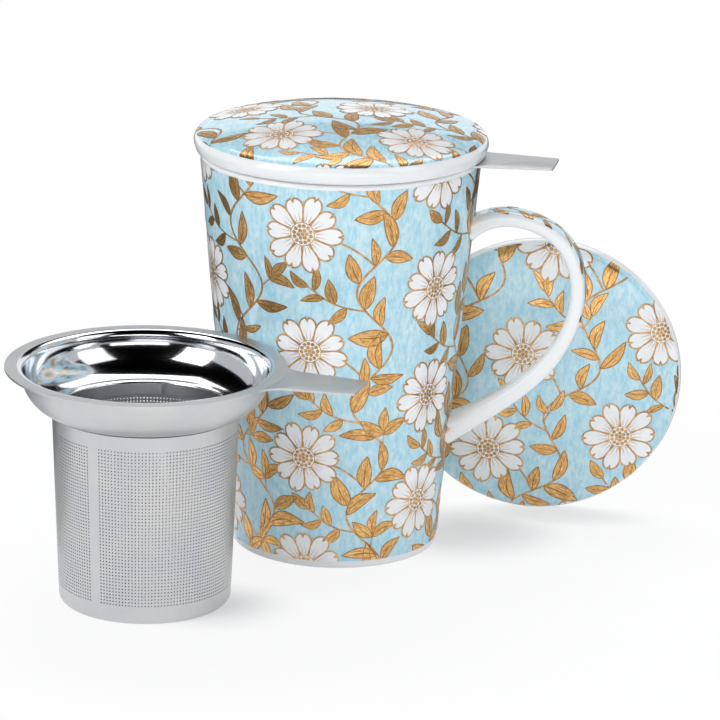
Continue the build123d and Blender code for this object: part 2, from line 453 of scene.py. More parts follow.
petal_white = make_petal()
print(petal_white.name, len(petal_white.node_tree.nodes), "nodes")

# %% [markdown]
# ## Steel
#
# The infuser is pressed from sheet. Outside it is satin: rough enough to blur, with faint streaks where it
# was rolled. Inside the funnel it is polished like a mirror, with only a faint haze and the marks of the
# turning. The two sides are faces of one skin, so they are two materials. Noise that is stretched along the
# axis gives the rolled streaks, and noise that is stretched across it gives the turned ones.

# %% Satin steel


def make_satin():
    finish = Finish("satin_steel")
    rolled = finish.noise(finish.place((1, 1, 14)), 0.7, 3, 0.6)
    cloud = finish.noise(finish.place(), 16, 2)
    tint = finish.mix(cloud.spread(0.3, 0.7), (0.61, 0.63, 0.66, 1), (0.68, 0.675, 0.665, 1))
    colour = finish.mix(rolled * 0.35, tint, (0.56, 0.575, 0.60, 1))
    roughness = 0.3 + 0.12 * rolled + 0.06 * cloud
    normal = finish.bump(rolled, 0.008)
    return finish.shade(Base_Color=colour, Metallic=1.0, Roughness=roughness, Normal=normal)


satin = make_satin()
print(satin.name, len(satin.node_tree.nodes), "nodes")

# %% Polished steel


def make_mirror():
    finish = Finish("polished_steel")
    haze = finish.noise(finish.place(), 10, 3)
    turned = finish.noise(finish.place((30, 30, 1)), 0.5, 2)
    colour = finish.mix(haze, (0.75, 0.78, 0.82, 1), (0.84, 0.855, 0.875, 1))
    roughness = 0.06 + 0.04 * haze + 0.05 * turned
    return finish.shade(Base_Color=colour, Metallic=1.0, Roughness=roughness)


mirror = make_mirror()
print(mirror.name, len(mirror.node_tree.nodes), "nodes")

# %% [markdown]
# ## The mug
#
# The cup is one outline, from the middle of the foot recess round the foot ring, up the wall, over the lip
# and down to the floor. The handle has no axis to spin about, so the CAD model's own skin is copied, its
# loose triangles are merged and it is shaded smooth.

# %% The cup
recess_radius = foot_radius - foot_round - foot_ring_width
cup_corners = [
    (0, foot_recess),
    (recess_radius, foot_recess),
    (recess_radius, 0),
    (foot_radius, 0),
    (rim_radius, mug_height),
    (rim_radius - mug_wall, mug_height),
    (wall_radius(mug_floor) - mug_wall, mug_floor),
    (0, mug_floor),
]
cup_rounds = [recess_round, recess_round, foot_round, rim_round, rim_round, floor_round]
cup = lathe("cup", rounded(cup_corners, cup_rounds))
cup.data.materials.append(china)
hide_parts("mug_body")
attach(cup, "mug")

# %% The handle


def copy_of(pattern, name):
    """A copy of a piece with a mesh of its own."""
    piece = pattern.copy()
    piece.data = pattern.data.copy()
    bpy.context.scene.collection.objects.link(piece)
    return named(piece, name)


handle = copy_of(frame["nodes"]["mug_handle"], "handle")
handle.parent = None
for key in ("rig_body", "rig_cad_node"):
    del handle[key]
edit(handle)
bpy.ops.mesh.remove_doubles(threshold=MERGE)
leave()
handle.data.materials.clear()
handle.data.materials.append(china)
smooth(handle, degrees=40)
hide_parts("mug_handle")
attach(handle, "mug")
print("handle", len(handle.data.polygons), "faces")

# %% [markdown]
# ## The lids
#
# Both lids have one outline: a locating ring that goes down into the funnel, an upright rim, a tight
# shoulder and a shallow crown. The crown is part of a large sphere, and its middle is the top of the lid.
# The leaning lid is made level too and then stood up, so that both are the same. Its place comes from the
# CAD box: the crown touches the front of the box, and the rim is in the middle of its width and height.

# %% Sizes of the lid
lid_low, lid_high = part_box("lid")
lid_radius = lid_high.x
lid_edge_radius = 45.3 * MM
lid_rim_height = 2.9 * MM
lid_shoulder = 3.6 * MM
lid_wall = 2.8 * MM
ring_depth = 3 * MM
ring_outer = 36.24 * MM
ring_inner = 33.84 * MM
lid_foot_round = 0.7 * MM
ring_round = 0.8 * MM
leaning_turn = math.radians(4)
leaning_tilt = math.radians(2)
lid_seat = lid_low.z + ring_depth
lid_rise = lid_high.z - lid_seat - lid_rim_height
shoulder_circle = lid_radius - lid_shoulder
crown_radius = (shoulder_circle**2 + lid_rise**2 - lid_shoulder**2) / (2 * (lid_rise - lid_shoulder))
lid_sizes = [round(size / MM, 1) for size in (lid_seat, lid_rise, crown_radius)]
print("seat, rise and crown radius of the lid", lid_sizes)

# %% The outline of a lid
shoulder_end = math.atan2(crown_radius - lid_rise, shoulder_circle)
crown_end = math.asin((shoulder_circle + lid_shoulder * math.cos(shoulder_end)) / crown_radius)
hollow_end = math.asin(ring_inner / (crown_radius - lid_wall))
crown_centre = (0, lid_rim_height + lid_rise - crown_radius)


def lid_outline():
    """From the top of the lid out over the shoulder, down the rim, round the ring and up under the dome."""
    crown = arc(crown_centre, crown_radius, math.pi / 2, math.pi / 2 - crown_end, steps=24)
    shoulder = arc((shoulder_circle, lid_rim_height), lid_shoulder, shoulder_end, 0, steps=12)
    rim_and_ring = rounded(
        [
            shoulder[-1],
            (lid_edge_radius, 0),
            (ring_outer, 0),
            (ring_outer, -ring_depth),
            (ring_inner, -ring_depth),
            (ring_inner, crown_centre[1] + (crown_radius - lid_wall) * math.cos(hollow_end)),
        ],
        [lid_foot_round, 0, ring_round, ring_round],
    )
    hollow = arc(crown_centre, crown_radius - lid_wall, math.pi / 2 - hollow_end, math.pi / 2, steps=16)
    return crown + shoulder[1:] + rim_and_ring[1:] + hollow[1:]


print("the outline of a lid has", len(lid_outline()), "points")

# %% Where the lids lie


def place_of_leaning_lid():
    """The place of the lid's rim plane, from the CAD box and the way the lid faces."""
    across = Vector((math.cos(leaning_turn), -math.sin(leaning_turn), 0))
    behind = Vector((math.sin(leaning_turn), math.cos(leaning_turn), 0))
    facing = -behind * math.cos(leaning_tilt) - Vector((0, 0, math.sin(leaning_tilt)))
    low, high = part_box("leaning_lid")
    front = low.y + crown_radius + facing.y * (crown_radius - lid_rise)
    centre = Vector(((low.x + high.x) / 2, front, (low.z + high.z) / 2))
    turned = Matrix((across, facing.cross(across), facing)).transposed().to_4x4()
    return Matrix.Translation(centre) @ turned @ Matrix.Translation((0, 0, -lid_rim_height))


lid_place = Matrix.Translation((0, 0, lid_seat))
leaning_place = place_of_leaning_lid()
print("the middle of the leaning lid is", round(leaning_place.translation.z / MM, 1), "mm up")

# %% Both lids


def make_lid(name, place, node, body):
    piece = lathe(name, lid_outline())
    piece.data.transform(place)
    piece.data.materials.append(china)
    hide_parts(node)
    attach(piece, body)
    return piece


lid = make_lid("lid_china", lid_place, "lid", "mug_lid")
leaning = make_lid("leaning_lid_china", leaning_place, "leaning_lid", "second_lid")
for piece, node in ((lid, "lid"), (leaning, "leaning_lid")):
    low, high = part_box(node)
    corners = [v.co for v in piece.data.vertices]
    below = max(abs(min(c[axis] for c in corners) - low[axis]) for axis in range(3))
    above = max(abs(max(c[axis] for c in corners) - high[axis]) for axis in range(3))
    print(node, "lies within", round(max(below, above) / MM, 3), "mm of the CAD solid's box")

# %% [markdown]
# ## The infusers
#
# An infuser is three sheets of steel that nest in each other: a funnel with a flat flange and a tab, a
# perforated tube and a perforated base. The funnel could be a single surface with a Solidify modifier, but
# its neck has to clear the tube by a tenth of a millimetre, so both sides of the sheet are drawn as one
# closed outline and spun. The tab is a flat outline that is filled, extruded and bevelled.

# %% Sizes of the infuser
sheet = 0.6 * MM
flange_radius = 42.8 * MM
bowl_outer_radius = 37.8 * MM
lip_round = 1.2 * MM
bowl_depth = 13.4 * MM
neck_length = 3.6 * MM
weld_gap = 0.1 * MM
neck_inner_round = 0.6 * MM
neck_outer_round = 0.5 * MM
neck_corner_rise = 0.2 * MM
infuser_depth = mug_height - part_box("infuser_base")[0].z
tube_top_radius = 28.5 * MM
tube_top_depth = bowl_depth + 0.3 * MM
tube_bottom_radius = 26.4 * MM
base_round = 2.4 * MM
base_upstand = 3.5 * MM
tube_bottom_depth = infuser_depth - base_round
tab_tip = 68 * MM
tab_tip_width = 14 * MM
tab_root_width = 19.5 * MM
tab_root_round = 7 * MM
tab_tip_round = 0.9 * MM
pressed_edge = 0.12 * MM
hanging_tab_turn = math.radians(-11.5)
standing_tab_turn = math.radians(-17)
infuser_sizes = [round(size / MM, 1) for size in (infuser_depth, tube_top_depth, tube_bottom_depth)]
print("depth of the infuser and of its tube's top and bottom", infuser_sizes)


def tube_radius(depth):
    """Outer radius of the tube at a depth under the flange."""
    share = (depth - tube_top_depth) / (tube_bottom_depth - tube_top_depth)
    return tube_top_radius + (tube_bottom_radius - tube_top_radius) * share


def nested_radius(depth):
    """Outer radius of a sheet that lies inside the tube."""
    return tube_radius(depth) - sheet - weld_gap


# %% The funnel
bowl_reach = bowl_outer_radius - tube_top_radius
bowl_drop = bowl_depth - lip_round
bowl_radius = (bowl_reach**2 + bowl_drop**2) / (2 * bowl_reach)
bowl_centre = (bowl_outer_radius - bowl_radius, -lip_round)
bowl_sweep = math.asin(bowl_drop / bowl_radius)
cut_margin = 0.1 * MM


def funnel_outline():
    """The outline of the sheet: along the inner side to the neck and back along the outer side."""
    lip_centre = (bowl_outer_radius + lip_round, -lip_round)
    inner = [Vector((flange_radius, sheet))]
    inner += arc(lip_centre, lip_round + sheet, math.pi / 2, math.pi, steps=6)
    inner += arc(bowl_centre, bowl_radius - sheet, 0, -bowl_sweep, steps=24)[1:]
    neck_top, neck_bottom = nested_radius(tube_top_depth), nested_radius(bowl_depth + neck_length)
    inner_neck = rounded(
        [
            inner[-1],
            (neck_top - sheet, -bowl_depth + neck_corner_rise),
            (neck_bottom - sheet, -bowl_depth - neck_length),
        ],
        [neck_inner_round],
    )
    outer_neck = rounded(
        [(neck_bottom, -bowl_depth - neck_length), (neck_top, -bowl_depth), (tube_top_radius, -bowl_depth)],
        [neck_outer_round],
    )
    outer = arc(bowl_centre, bowl_radius, -bowl_sweep, 0, steps=24)[1:]
    outer += arc(lip_centre, lip_round, math.pi, math.pi / 2, steps=6)[1:]
    return inner + inner_neck[1:] + outer_neck + outer + [Vector((flange_radius, 0))]


def is_polished(polygon):
    """Whether a face of the funnel lies on its inside, between the cut edges of the sheet."""
    middle = polygon.center
    out = Vector((middle.x, middle.y, 0)).normalized()
    faces_in = polygon.normal.dot(out) < -0.02
    faces_up = polygon.normal.z > 0.3 and middle.z < -lip_round
    between = -bowl_depth - neck_length + cut_margin < middle.z < sheet * 0.98
    return between and (faces_in or faces_up)


# %% The outline of the tab


def tab_outline():
    """The tab, from the edge of the flange round its rounded root and tip and back.

    The round at the root touches the flange and the sloping side, and a few steps close in on its centre.
    """
    taper = (tab_root_width - tab_tip_width) / (tab_tip - flange_radius) / 2
    tip, root = tab_tip_width / 2, tab_root_width / 2
    root_circle = flange_radius + tab_root_round
    reach = root_circle * 0.9
    for _ in range(20):
        side = root + taper * (flange_radius - reach) + tab_root_round * math.hypot(1, taper)
        reach = math.sqrt(root_circle**2 - side**2)
    centre = Vector((reach, side))
    start = math.atan2(-centre.y, -centre.x)
    end = math.atan2(-1, -taper)
    upper = arc(centre, tab_root_round, start, end, steps=8)
    tip_corner = rounded([upper[-1], (tab_tip, tip), (tab_tip, 0)], [tab_tip_round])[1:-1]
    half = upper + tip_corner
    return half + [Vector((point.x, -point.y)) for point in reversed(half)]


# %% The tab


def apply_all(piece):
    """Applies a piece's modifiers and its place."""
    pick(piece)
    for modifier in list(piece.modifiers):
        bpy.ops.object.modifier_apply(modifier=modifier.name)
    bpy.ops.object.transform_apply(location=True, rotation=True, scale=True)


def make_tab(name):
    """A filled outline that meets the flange along its edge, extruded to the thickness of the sheet."""
    root = tab_outline()
    start, end = (math.atan2(p.y, p.x) for p in (root[0], root[-1]))
    edge = arc((0, 0), flange_radius, end, start, steps=12)[1:-1]
    tab = ring_of(root + edge, name, filled=True)
    edit(tab)
    bpy.ops.mesh.normals_make_consistent(inside=False)
    bpy.ops.mesh.extrude_region_move(TRANSFORM_OT_translate={"value": (0, 0, sheet)})
    bpy.ops.mesh.select_all(action="SELECT")
    bpy.ops.mesh.normals_make_consistent(inside=False)
    leave()
    bevel = tab.modifiers.new("pressed_edge", "BEVEL")
    bevel.width = pressed_edge
    bevel.segments = 2
    bevel.limit_method = "ANGLE"
    bevel.angle_limit = math.radians(50)
    apply_all(tab)
    tab.data.materials.append(satin)
    smooth(tab, degrees=40)
    return tab


# %% The funnel with its tab


def joined(pieces, name):
    """Joins pieces into the first of them."""
    pick(*pieces)
    bpy.ops.object.join()
    return named(pieces[0], name)


def make_funnel(name):
    funnel = lathe(name, funnel_outline(), smooth_angle=28)
    funnel.data.materials.append(satin)
    funnel.data.materials.append(mirror)
    for polygon in funnel.data.polygons:
        polygon.material_index = int(is_polished(polygon))
    return joined([funnel, make_tab(name + "_tab")], name)


# %% [markdown]
# ## The perforated tube
#
# The tube has thousands of holes, a millimetre apart. Boolean cuts would take minutes. Instead one small
# square cell is made with its hole, repeated flat with two Array modifiers, given plain bands and a plain
# seam by extruding its edges, then rolled into the tube, closed at the seam and thickened.

# %% Sizes of the holes
hole_columns = 166
hole_rows = 48
hole_side = 0.4 * MM
top_band = 4.3 * MM
bottom_band = 5.9 * MM
seam_width = 3.1 * MM
seam_turn = math.radians(-104.7)
seam_merge = 0.01 * MM
tube_length = tube_bottom_depth - tube_top_depth
middle_radius = (tube_top_radius + tube_bottom_radius) / 2
tube_girth = TURN * middle_radius
cell_width = (tube_girth - seam_width) / hole_columns
cell_height = (tube_length - top_band - bottom_band + base_round) / hole_rows
print("a cell is", round(cell_width / MM, 3), "by", round(cell_height / MM, 3), "mm")

# %% Helpers for sheets


def select_edge_at(piece, axis, position):
    """Selects the vertices of a flat piece that lie on a line."""
    bpy.ops.object.mode_set(mode="OBJECT")
    for polygon in piece.data.polygons:
        polygon.select = False
    for line in piece.data.edges:
        line.select = False
    for vertex in piece.data.vertices:
        vertex.select = abs(vertex.co[axis] - position) < 2 * seam_merge
    bpy.ops.object.mode_set(mode="EDIT")
    bpy.ops.mesh.select_mode(type="VERT")


def thicken(piece, thickness, side):
    """Gives a sheet its thickness: outwards with a side of 1, inwards with -1, and both ways with 0."""
    wall = piece.modifiers.new("wall", "SOLIDIFY")
    wall.thickness = thickness
    wall.offset = side
    apply_all(piece)


def triangles(piece):
    return sum(len(polygon.vertices) - 2 for polygon in piece.data.polygons)


# %% A field of holes


def field_of_holes(name):
    """One cell with its hole, repeated flat along X and Y from the origin."""
    bpy.ops.mesh.primitive_plane_add(size=1, location=(0, 0, 0), calc_uvs=False)
    field = named(bpy.context.object, name)
    for vertex in field.data.vertices:
        vertex.co = ((vertex.co.x + 0.5) * cell_width, (vertex.co.y + 0.5) * cell_height, 0)
    edit(field)
    bpy.ops.mesh.inset(thickness=(cell_width - hole_side) / 2)
    bpy.ops.mesh.delete(type="FACE")
    leave()
    for axis, count in ((0, hole_columns), (1, hole_rows)):
        repeat = field.modifiers.new("holes", "ARRAY")
        repeat.count = count
        repeat.relative_offset_displace = (axis == 0, axis == 1, 0)
        repeat.use_merge_vertices = True
        repeat.merge_threshold = seam_merge
    apply_all(field)
    return field


# %% The tube


def make_tube(name):
    """Flat, it lies in X and Y with the seam at its right; rolled, X goes round the axis and Y goes up."""
    tube = field_of_holes(name)
    field_height = cell_height * hole_rows
    edit(tube)
    for axis, position, move in (
        (1, field_height, (0, top_band, 0)),
        (1, 0, (0, -(tube_length - field_height - top_band), 0)),
        (0, cell_width * hole_columns, (seam_width, 0, 0)),
    ):
        select_edge_at(tube, axis, position)
        bpy.ops.mesh.extrude_region_move(TRANSFORM_OT_translate={"value": move})
    leave()
    top = field_height + top_band
    for vertex in tube.data.vertices:
        depth = tube_top_depth + top - vertex.co.y
        turn = vertex.co.x / tube_girth * TURN + seam_turn + seam_width / tube_girth * math.pi
        radius = tube_radius(depth) - sheet
        vertex.co = (radius * math.cos(turn), radius * math.sin(turn), -depth)
    edit(tube)
    bpy.ops.mesh.remove_doubles(threshold=seam_merge)
    bpy.ops.mesh.normals_make_consistent(inside=False)
    leave()
    thicken(tube, sheet, 1)
    tube.data.materials.append(satin)
    smooth(tube, degrees=35)
    print(name, triangles(tube), "triangles")
    return tube


# %% [markdown]
# The base is a turned edge with an upstand that goes up inside the tube. Its flat bottom is round, so an
# Array would leave a ragged rim. Instead a disc is cut along a square grid, and every whole cell gets its
# hole with one inset.

# %% Helpers for flat pieces


def disc_points(radius, count):
    turns = [TURN * number / count for number in range(count)]
    return [(radius * math.cos(turn), radius * math.sin(turn)) for turn in turns]


def cut_small(piece, size):
    """Cuts a flat piece along a square grid."""
    corners = [vertex.co.copy() for vertex in piece.data.vertices]
    edit(piece)
    for axis in (0, 1):
        low = min(c[axis] for c in corners)
        high = max(c[axis] for c in corners)
        count = int((high - low) / size)
        normal = Vector((axis == 0, axis == 1, 0))
        for step in range(1, count + 1):
            bpy.ops.mesh.select_all(action="SELECT")
            cut = low + (high - low) * step / (count + 1)
            bpy.ops.mesh.bisect(plane_co=normal * cut, plane_no=normal)
    leave()


def open_faces(piece, chosen):
    """Opens one piece in edit mode with some of its faces selected."""
    for polygon in piece.data.polygons:
        polygon.select = chosen(polygon)
    for part in (*piece.data.edges, *piece.data.vertices):
        part.select = False
    pick(piece)
    bpy.ops.object.mode_set(mode="EDIT")
    bpy.ops.mesh.select_mode(type="FACE")


# %% The base
pierced_radius = 22 * MM
shoulder_radius = nested_radius(tube_bottom_depth)
upstand_depth = tube_bottom_depth - base_upstand


def base_outline():
    inner = rounded(
        [
            (pierced_radius, sheet - infuser_depth),
            (shoulder_radius - sheet, sheet - infuser_depth),
            (shoulder_radius - sheet, -tube_bottom_depth),
            (nested_radius(upstand_depth) - sheet, -upstand_depth),
            (nested_radius(upstand_depth), -upstand_depth),
            (shoulder_radius, -tube_bottom_depth),
            (tube_bottom_radius, -tube_bottom_depth),
        ],
        [base_round - sheet, 0, 0, 0, 0],
    )
    edge_centre = (tube_bottom_radius - base_round, -tube_bottom_depth)
    edge = arc(edge_centre, base_round, 0, -math.pi / 2, steps=8)
    return inner + edge[1:] + [Vector((pierced_radius, -infuser_depth))]


def make_base(name):
    """A turned edge with its upstand, round a flat bottom that gets a hole in each whole cell."""
    edge = lathe(name, base_outline(), smooth_angle=34)
    bottom = ring_of(disc_points(pierced_radius, SPIN_STEPS), name + "_bottom", filled=True)
    cut_small(bottom, cell_width)
    inside = [vertex.co.length < pierced_radius - cell_width / 2 for vertex in bottom.data.vertices]
    open_faces(bottom, lambda polygon: all(inside[i] for i in polygon.vertices))
    bpy.ops.mesh.inset(thickness=(cell_width - hole_side) / 2, use_individual=True)
    bpy.ops.mesh.delete(type="FACE")
    bpy.ops.mesh.select_mode(type="VERT")
    leave()
    bottom.location.z = sheet / 2 - infuser_depth
    thicken(bottom, sheet, 0)
    base = joined([edge, bottom], name)
    base.data.materials.clear()
    base.data.materials.append(satin)
    print(name, triangles(base), "triangles")
    return base


# %% [markdown]
# The three pieces are made once, with the underside of the flange at height 0 and the tab along +X. Each
# infuser then gets its own copies, turned and moved to its place.

# %% Both infusers
patterns = {"bowl": make_funnel("funnel"), "tube": make_tube("tube"), "base": make_base("base")}
standing_low, standing_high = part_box("standing_infuser_base")
standing_axis = (standing_low + standing_high) / 2
infusers = {
    "infuser": (Vector((0, 0, mug_height)), hanging_tab_turn, "infuser"),
    "standing_infuser": (
        Vector((standing_axis.x, standing_axis.y, standing_low.z + infuser_depth)),
        standing_tab_turn,
        "standing_infuser",
    ),
}
for prefix, (seat, turn, body) in infusers.items():
    for part, pattern in patterns.items():
        piece = copy_of(pattern, f"{prefix}_{part}_steel")
        piece.data.transform(Matrix.Translation(seat) @ Matrix.Rotation(turn, 4, "Z"))
        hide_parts(f"{prefix}_{part}")
        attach(piece, body)
    print(prefix, "stands", round(seat.z / MM, 1), "mm up at its flange")
for pattern in patterns.values():
    bpy.data.objects.remove(pattern)

# %% [markdown]
# ## The print
#
# The print is an all-over garden: round white flowers outlined in gold, gold leaves to both sides of waving
# stems, and a watery blue ground. It is drawn flat, as a printer would, from a flower and three leaves that
# are made once and copied, and is then laid on the wall, the handle or a dome. Every motif is cut into
# small faces first, so that it bends with the china, and lies a tenth of a millimetre or so above it.

# %% Motifs
motif_cell = 1.5 * MM
line_width = 0.56 * MM


def note_places(piece):
    """Keeps each point's place in its flat motif, in millimetres, for the finishes to follow."""
    places = piece.data.uv_layers.new(name="motif")
    for corner in piece.data.loops:
        place = piece.data.vertices[corner.vertex_index].co
        places.data[corner.index].uv = (place.x / MM, place.y / MM)


def shape(name, points, finish):
    """A flat filled outline of one finish."""
    piece = ring_of(points, name, filled=True)
    piece.data.materials.append(finish)
    cut_small(piece, motif_cell)
    note_places(piece)
    return piece


def outlined(name, points, fill, line, width=line_width):
    """A flat motif with a painted line round it."""
    piece = ring_of(points, name, filled=True)
    piece.data.materials.append(line)
    piece.data.materials.append(fill)
    edit(piece)
    bpy.ops.mesh.inset(thickness=width)
    leave()
    for polygon in piece.data.polygons:
        polygon.material_index = int(polygon.select)
    cut_small(piece, motif_cell)
    note_places(piece)
    return piece


# %% [markdown]
# Motifs that cross would flicker if they lay at one height, so each kind has its own lift: stems lowest,
# then leaves, petals, veins, hearts and dots. A leaf is a pointed outline with a thin dark line round it
# and a rib along it. Three shapes, a broad one, a slim one and a bent one, are enough for a lively print.

# %% Heights of the motifs
stem_lift = 0.05 * MM
leaf_lift = 0.07 * MM
rib_lift = 0.085 * MM
petal_lift = 0.1 * MM
petal_step = 0.008 * MM
vein_lift = 0.125 * MM
heart_lift = 0.14 * MM
dot_lift = 0.155 * MM


def lifted(piece, height):
    for vertex in piece.data.vertices:
        vertex.co.z = height
    return piece


# %% The leaves
leaf_length = 12 * MM
leaf_steps = 11
leaf_lean = 0.82
leaf_fullness = 0.85
leaf_tip_bend = 0.2
leaf_line_width = 0.34 * MM
rib_width = 0.4 * MM
rib_share = 0.8
rib_bend = 0.86


def leaf_points(length, width, bend):
    """A pointed leaf from the origin along +X; a lean under 1 puts its widest place before its middle."""
    side = []
    for step in range(1, leaf_steps):
        share = step / leaf_steps
        half = width / 2 * math.sin(math.pi * share**leaf_lean) ** leaf_fullness
        side.append((share, half))
    upper = [(length * s, h + bend * math.sin(math.pi * s)) for s, h in side]
    lower = [(length * s, -h + bend * math.sin(math.pi * s)) for s, h in reversed(side)]
    return [(0, 0), *lower[::-1], (length, bend * leaf_tip_bend), *upper[::-1]]


def make_leaf(name, width, bend):
    outline = leaf_points(leaf_length, width, bend)
    blade = outlined(name, outline, leaf_gold, leaf_line, leaf_line_width)
    rib_outline = leaf_points(leaf_length * rib_share, rib_width, bend * rib_bend)
    rib = shape(name + "_rib", rib_outline, leaf_line)
    return joined([lifted(blade, leaf_lift), lifted(rib, rib_lift)], name)


leaves = [
    make_leaf("broad_leaf", 5.3 * MM, 0.6 * MM),
    make_leaf("slim_leaf", 4.0 * MM, -0.9 * MM),
    make_leaf("bent_leaf", 4.7 * MM, 1.7 * MM),
]
print("leaf", triangles(leaves[0]), "triangles")

# %% [markdown]
# A flower has ten notched petals round a heart of gold dots. The petals overlap at their feet, so every
# second one lies a hair higher and is a little longer. One petal could be copied by an Array modifier, but
# the two lengths would need two arrays, so each petal is drawn and turned in a loop.

# %% The outline of a petal
petal_steps = 12
petal_widest = 0.64
petal_foot = 0.34
petal_swell = 0.66
petal_curve = 1.2
petal_bluntness = 0.02


def petal_points(start, end, width, notch):
    """A round petal along +X, narrow at its foot and with a small notch at its end."""
    side = []
    for step in range(petal_steps + 1):
        share = step / petal_steps
        rise = math.sin(math.pi / 2 * min(1, share / petal_widest)) ** petal_curve
        half = width / 2 * (petal_foot + petal_swell * rise)
        if share > petal_widest:
            fall = (share - petal_widest) / (1 - petal_widest)
            half *= math.sqrt(max(petal_bluntness, 1 - fall**2))
        side.append((start + (end - start) * share, half))
    return [(x, -h) for x, h in side] + [(end - notch, 0)] + [(x, h) for x, h in reversed(side)]


# %% The petals
flower_radius = 13.2 * MM
heart_radius = 4.0 * MM
petal_count = 10
petal_width = 6.1 * MM
petal_notch = 0.9 * MM
petal_tuck = 0.8 * MM
short_petal = 0.93
vein_foot = heart_radius + 0.3 * MM
vein_length = 3.6 * MM
vein_inner_side = 0.35 * MM
vein_outer_side = 0.62 * MM
vein_tip_side = 0.85 * MM


def make_petals():
    """Petals in two lengths, each with two fine veins at its foot."""
    petals = []
    for number in range(petal_count):
        end = flower_radius * (1 if number % 2 else short_petal)
        outline = petal_points(heart_radius - petal_tuck, end, petal_width, petal_notch)
        petal = lifted(outlined("petal", outline, petal_white, gold_line), petal_lift)
        veins = []
        for side in (-1, 1):
            tip = (vein_foot + vein_length, side * vein_tip_side)
            vein = [(vein_foot, side * vein_inner_side), tip, (vein_foot, side * vein_outer_side)]
            veins.append(lifted(shape("vein", vein[::side], gold_line), vein_lift))
        petal = joined([petal, *veins], "petal")
        raised = Matrix.Translation((0, 0, petal_step * (number % 2)))
        petal.data.transform(Matrix.Rotation(TURN * number / petal_count, 4, "Z") @ raised)
        petals.append(petal)
    return petals


# %% Copies of a motif
stroke_chance = random.Random(11)


def copy_flat(pattern, x, y, turn, size=1.0, squeeze=1.0):
    """A copy of a flat motif, sized, turned and moved in the plane, with brush strokes of its own."""
    piece = copy_of(pattern, pattern.name)
    scale = Matrix.Diagonal((size, size, 1, 1))
    narrow = Matrix.Diagonal((squeeze, 1, 1, 1))
    piece.data.transform(Matrix.Translation((x, y, 0)) @ narrow @ Matrix.Rotation(turn, 4, "Z") @ scale)
    shift = Vector((stroke_chance.uniform(0, 90), stroke_chance.uniform(0, 90)))
    for corner in piece.data.uv_layers["motif"].data:
        corner.uv += shift
    return piece


# %% The heart and the flower
dot_radius = 0.68 * MM
heart_line = 0.3 * MM
heart_rings = ((0, 1), (1.35 * MM, 6), (2.75 * MM, 12))


def make_heart():
    """A white heart with rings of gold dots."""
    heart = outlined("heart", disc_points(heart_radius, count=20), petal_white, gold_line, heart_line)
    lifted(heart, heart_lift)
    dot = lifted(shape("dot", disc_points(dot_radius, count=7), gold), dot_lift)
    parts = [heart]
    for ring, count in heart_rings:
        for number in range(count):
            turn = TURN * (number + 0.5) / count
            parts.append(copy_flat(dot, ring * math.cos(turn), ring * math.sin(turn), turn))
    bpy.data.objects.remove(dot)
    return parts


flower = joined(make_petals() + make_heart(), "flower")
print("flower", triangles(flower), "triangles")

# %% [markdown]
# Stems are painted lines. A curve object with a bevel would be round, and this one has to be flat and to
# bend with the china, so a grid of short steps is laid along a run of points. Vines wave upwards between
# the flowers, stalks lead to the flowers, and side branches fill the gaps. Leaves come last, and a leaf is
# left out where it would lie on another.

# %% Stems
stem_step = 1.3 * MM


def ribbon(run, width):
    """A painted stem: a strip along a run of points, cut into short steps."""
    points = [Vector(run[0])]
    for start, end in zip(run, run[1:]):
        start, end = Vector(start), Vector(end)
        count = max(1, round((end - start).length / stem_step))
        points += [start.lerp(end, step / count) for step in range(1, count + 1)]
    count = len(points)
    bpy.ops.mesh.primitive_grid_add(x_subdivisions=count - 1, y_subdivisions=1, size=MM, calc_uvs=False)
    strip = bpy.context.object
    for number, vertex in enumerate(strip.data.vertices):
        here = number % count
        side = -1 if number < count else 1
        ahead = points[min(here + 1, count - 1)] - points[max(here - 1, 0)]
        across = Vector((-ahead.y, ahead.x)).normalized() * width / 2 * side
        vertex.co = (points[here].x + across.x, points[here].y + across.y, stem_lift)
    strip.data.materials.append(gold_line)
    note_places(strip)
    return strip


# %% A leaf where there is room
leaf_room = 3.7 * MM


def leaf_at(root, turn, size, chance, squeeze, taken, last=False):
    """A leaf on a stem, unless it would lie on one drawn already; the last leaf of a stem always comes."""
    pattern = chance.choice(leaves)
    ahead = Vector((math.cos(turn), math.sin(turn))) * leaf_length * size
    spots = [Vector(root) + ahead * 0.5, Vector(root) + ahead * 0.95]
    crowded = any((spot - other).length < leaf_room for spot in spots for other in taken)
    if crowded and not last:
        return []
    taken += spots
    return [copy_flat(pattern, root[0], root[1], turn, size, squeeze)]


# %% Sprigs
stem_width = 0.7 * MM
sprig_width = stem_width * 0.75
sprig_lengths = (3.6, 5.4)
sprig_fork = 0.25
sprig_spread = 1.0
sprig_leaf_sizes = (0.62, 0.8)


def sprig(root, turn, chance, squeeze, taken):
    """A short stalk with a leaf at its end and one at each side, where there is room for it."""
    stalk = chance.uniform(*sprig_lengths) * MM
    tip = Vector(root) + Vector((math.cos(turn), math.sin(turn))) * stalk
    end_leaf = leaf_at(tip, turn, chance.uniform(*sprig_leaf_sizes), chance, squeeze, taken)
    if not end_leaf:
        return []
    parts = [ribbon([root, tip], sprig_width), *end_leaf]
    base = tip.lerp(Vector(root), sprig_fork)
    for spread in (sprig_spread, -sprig_spread):
        parts += leaf_at(base, turn + spread, chance.uniform(*sprig_leaf_sizes), chance, squeeze, taken)
    return parts


# %% Branches
curve_steps = 10
branch_width = stem_width * 0.8
branch_sag = 1.6 * MM
branch_leaf_spreads = (0.7, 1.0)
branch_leaf_sizes = (0.6, 0.76)
branch_leaves = ((curve_steps, 0), (3, 1), (5, -1), (7, 1), (9, -1))


